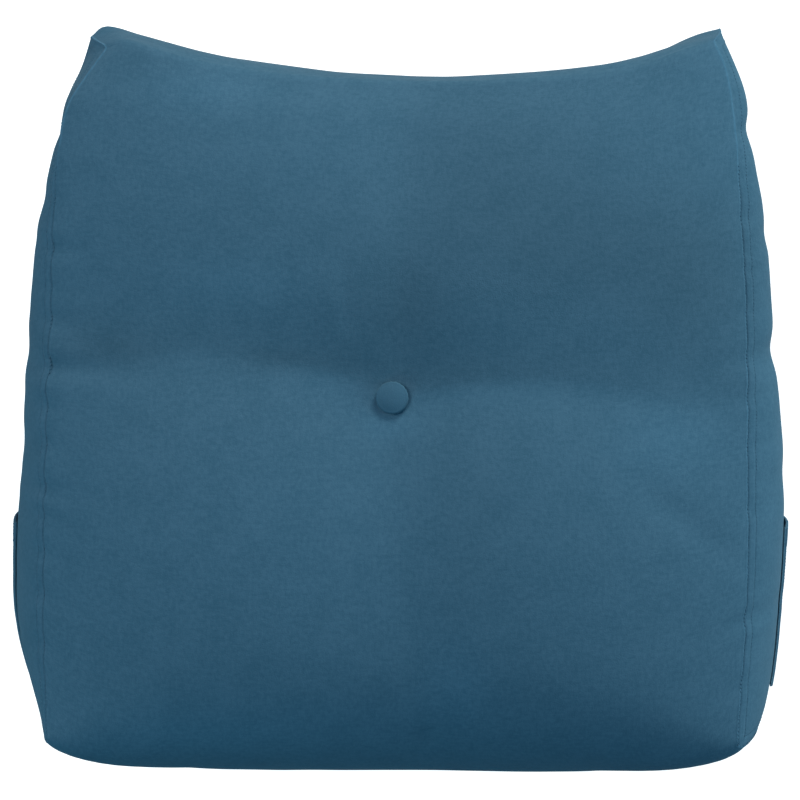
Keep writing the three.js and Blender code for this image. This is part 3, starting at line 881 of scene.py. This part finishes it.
def panelRow(i, sewn):  # a row round a side panel, this many lines in from its seams, or only up to the ears
    n = grid["number"][i]
    up, through = sewn["lines"]
    a, b, c, d = up, n.shape[0] - 1 - up, through, n.shape[1] - 1 - through
    ring = np.concatenate([n[a:b, d], n[b, d:c:-1], n[b:a:-1, c], n[a, c:d + 1]])
    if not sewn["ears"]:
        inEar = np.nonzero(earShare(grid["place"][1][ring]) > seam["stitchEnd"])[0]
        ring = np.concatenate([ring[inEar[-1] + 1:], ring[1:inEar[0]]])
    return coverPoints[ring] + coverNormals[ring] * sewn["stand"]


# finishes: short pile that is brushed this way and that, in a deep teal, and its thread
pile = {
    "deep": (0.0305, 0.0915, 0.1455), "light": (0.0447, 0.113, 0.1745), "thread": (0.037, 0.100, 0.158),
    "fibres": 1.4, "roughness": 0.78, "roughnessOfFibres": 0.18, "streakHeight": 0.5, "bumpDepth": 0.0006,
}
pileShader = {"Specular IOR Level": 0.2, "Sheen Roughness": 0.45, "Sheen Tint": (0.8, 0.95, 1, 1)}

# noises of the pile: fineness, stretch, detail and roughness
pileNoise = {
    "lengthwise": (360, (1, 0.45), 2, 0.5), "crosswise": (330, (0.45, 1), 2, 0.5),
    "patches": (30, (1, 1), 4, 0.65), "fibres": (800, (1, 1), 2, 0.5),
}

# each finish: deep and light colour, streaks, patches, bump and sheen
finishes = {
    "cover_pile": ("deep", "light", 1.6, 1.5, 0.3, 0.06),
    "button_pile": ("deep", "thread", 0.8, 0.4, 0.3, 0.06),
    "pocket_pile": ("deep", "light", 1.6, 1.2, 0.3, 0.06),
    "sewing_thread": ("thread", "light", 0.3, 0.2, 0.2, 0.04),
}


def pileGroup():  # colour, roughness and height of brushed pile, from the cloth's own map in metres, with the colour scaled by painted light and shade
    group = bpy.data.node_groups.new("pileAndPaintedLight", "ShaderNodeTree")
    color, number = "NodeSocketColor", "NodeSocketFloat"
    needed = {"Deep": color, "Light": color, "Streaks": number, "Patches": number, "Painted Light": number}
    for name, kind in needed.items():
        group.interface.new_socket(name, in_out="INPUT", socket_type=kind)
    for name, kind in {"Color": color, "Roughness": number, "Height": number}.items():
        group.interface.new_socket(name, in_out="OUTPUT", socket_type=kind)
    n, link = group.nodes, group.links.new
    given, out, coords = n.new("NodeGroupInput"), n.new("NodeGroupOutput"), n.new("ShaderNodeTexCoord")

    def noise(scale, stretch, detail, rough):
        turn, texture = n.new("ShaderNodeMapping"), n.new("ShaderNodeTexNoise")
        setInputs(turn, {"Scale": stretch + (1,)})
        setInputs(texture, {"Scale": scale, "Detail": detail, "Roughness": rough})
        link(coords.outputs["UV"], turn.inputs["Vector"])
        link(turn.outputs["Vector"], texture.inputs["Vector"])
        return texture.outputs["Fac"]

    def math2(kind, a, b):
        node = n.new("ShaderNodeMath")
        node.operation = kind
        for socket, value in zip(node.inputs, (a, b)):
            if isinstance(value, (int, float)):
                socket.default_value = value
            else:
                link(value, socket)
        return node.outputs[0]

    lengthwise, crosswise, patches, fibres = (noise(*values) for values in pileNoise.values())
    streaks = math2("SUBTRACT", math2("ADD", lengthwise, crosswise), 1)
    middle = 0.5  # of a noise, and of the blend from deep to light
    share = math2("ADD", middle, math2("MULTIPLY", streaks, given.outputs["Streaks"]))
    for part, weight in ((patches, given.outputs["Patches"]), (fibres, pile["fibres"])):
        share = math2("ADD", share, math2("MULTIPLY", math2("SUBTRACT", part, middle), weight))
    blend = n.new("ShaderNodeMix")
    blend.data_type = "RGBA"
    link(share, blend.inputs["Factor"])
    link(given.outputs["Deep"], blend.inputs["A"])
    link(given.outputs["Light"], blend.inputs["B"])
    # painted light and shade: the colour scaled by one plus the given change of tone
    paintedLightScale = n.new("ShaderNodeVectorMath")
    paintedLightScale.operation = "SCALE"
    link(blend.outputs["Result"], paintedLightScale.inputs[0])
    link(math2("ADD", given.outputs["Painted Light"], 1), paintedLightScale.inputs["Scale"])
    link(paintedLightScale.outputs["Vector"], out.inputs["Color"])
    rough = math2("ADD", pile["roughness"], math2("MULTIPLY", fibres, pile["roughnessOfFibres"]))
    link(rough, out.inputs["Roughness"])
    link(math2("ADD", fibres, math2("MULTIPLY", streaks, pile["streakHeight"])), out.inputs["Height"])
    return group


def pileMaterial(name, group):
    deep, light, streaks, patches, bump, sheen = finishes[name]
    material = bpy.data.materials.new(name)
    material.use_nodes = True
    n, link = material.node_tree.nodes, material.node_tree.links.new
    shader = n["Principled BSDF"]
    cloth, relief, painted_light = n.new("ShaderNodeGroup"), n.new("ShaderNodeBump"), n.new("ShaderNodeAttribute")
    cloth.node_tree, painted_light.attribute_name = group, "painted_light"
    # the painted light and shade from the mesh's attribute scales the pile's colour
    link(painted_light.outputs["Fac"], cloth.inputs["Painted Light"])
    setInputs(cloth, {"Deep": pile[deep] + (1,), "Light": pile[light] + (1,)})
    setInputs(cloth, {"Streaks": streaks, "Patches": patches})
    setInputs(relief, {"Strength": bump, "Distance": pile["bumpDepth"]})
    setInputs(shader, {"Sheen Weight": sheen, **pileShader})
    link(cloth.outputs["Color"], shader.inputs["Base Color"])
    link(cloth.outputs["Roughness"], shader.inputs["Roughness"])
    link(cloth.outputs["Height"], relief.inputs["Height"])
    link(relief.outputs["Normal"], shader.inputs["Normal"])
    return material


pileAndPaintedLight = pileGroup()
coverCloth, buttonCloth, pocketCloth, threadFinish = (pileMaterial(name, pileAndPaintedLight) for name in finishes)
cushionCover.data.materials.append(coverCloth)
coveredButton.data.materials.append(buttonCloth)

coverNormals = readVectors(coverFine.vertex_normals, "vector")
sewing, sewingIds = stitchTree(threadFinish)
coverStitches = []
for name, sewn in stitch.items():
    rows = [panelRow(i, sewn) for i in (0, -1)]
    coverStitches.append(sewRows(f"{name}_stitches", rows, sewn, sewing, sewingIds))
for side, made in pockets.items():
    made["sheet"].data.materials.append(pocketCloth)
    made["stitches"] = sewRows(f"pocket_{side}_stitches", made["rows"], stitch["top"], sewing, sewingIds)
print("stitches sewn:", [len(piece.data.polygons) for piece in coverStitches])


# pale floor, soft light from the cushion's top and right, and the camera over its front
floorHalf, floorHeight = 6, -0.0005
floorPaper = {"Base Color": (0.5, 0.5, 0.5, 1), "Roughness": 0.9, "Emission Color": (1, 1, 1, 1)}
floorMesh = bpy.data.meshes.new("floor")
floorCorners = [(x * floorHalf, y * floorHalf, floorHeight) for x, y in ((-1, -1), (1, -1), (1, 1), (-1, 1))]
floorMesh.from_pydata(floorCorners, [], [(0, 1, 2, 3)])
floor = addPiece("floor", floorMesh)
paper = bpy.data.materials.new("floor_paper")
paper.use_nodes = True
paperNodes, paperLink = paper.node_tree.nodes, paper.node_tree.links.new
paperShader, seen = paperNodes["Principled BSDF"], paperNodes.new("ShaderNodeLightPath")
setInputs(paperShader, floorPaper)
# white to the camera, grey to the cloth
paperLink(seen.outputs["Is Camera Ray"], paperShader.inputs["Emission Strength"])
floorMesh.materials.append(paper)
floor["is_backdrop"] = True

# soft lamps: degrees round from the cushion's top towards its right, degrees up, power and colour
lights = {
    "top_light": (22, 10, 56, (0.98, 1, 0.91)),
    "right_light": (90, 10, 39, (0.76, 1, 1)),
    "left_light": (-60, 45, 34.5, (1, 0.965, 0.905)),
    "low_light": (225, 30, 12, (0.1, 0.95, 1)),
}
lampHub, lampDistance, lampSize = Vector((0, 0, 0.12)), 2.6, 1.2
for name, (aside, upward, power, color) in lights.items():
    way, height = math.radians(aside), math.radians(upward)
    direction = Vector((math.sin(way) * math.cos(height), math.cos(way) * math.cos(height), math.sin(height)))
    lamp = bpy.data.lights.new(name, "AREA")
    lamp.shape, lamp.size, lamp.energy, lamp.color = "DISK", lampSize, power, color
    light = addPiece(name, lamp)
    light.location = lampHub + direction * lampDistance
    light.rotation_euler = (-direction).to_track_quat("-Z", "Y").to_euler()
world = bpy.data.worlds.new("studio")
world.use_nodes = True
setInputs(world.node_tree.nodes["Background"], {"Color": (0.16, 0.565, 1, 1), "Strength": 0.25})
scene.world = world
scene.view_settings.view_transform = "Standard"

view = {"lean": 12.0, "turn": 1.5, "distance": 2.8, "lens": 144.6, "sensor": 36, "aside": 6.9, "down": 1.8}
lean, turn = math.radians(view["lean"]), math.radians(view["turn"])
toCamera = Vector((math.sin(turn) * math.cos(lean), math.sin(lean), math.cos(turn) * math.cos(lean)))
right = Vector((0, 1, 0)).cross(toCamera).normalized()
up = toCamera.cross(right)
lens = bpy.data.cameras.new("camera")
lens.lens, lens.sensor_width = view["lens"], view["sensor"]
camera = addPiece("camera", lens)
aim = Vector(buttonMiddle * mm) + right * view["aside"] * mm - up * view["down"] * mm
facing = Matrix((right, up, toCamera)).transposed().to_4x4()
camera.matrix_world = Matrix.Translation(aim + toCamera * view["distance"]) @ facing
scene.camera = camera

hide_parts("cushion")
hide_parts("button")
for piece in (cushionCover, coveredButton, *coverStitches):
    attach(piece, "root")
for side, made in pockets.items():
    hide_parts(f"pocket_{side}")
    for piece in (made["sheet"], made["stitches"]):
        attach(piece, "root")

low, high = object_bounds()
print("visual box", [round(t, 4) for t in low], [round(t, 4) for t in high])
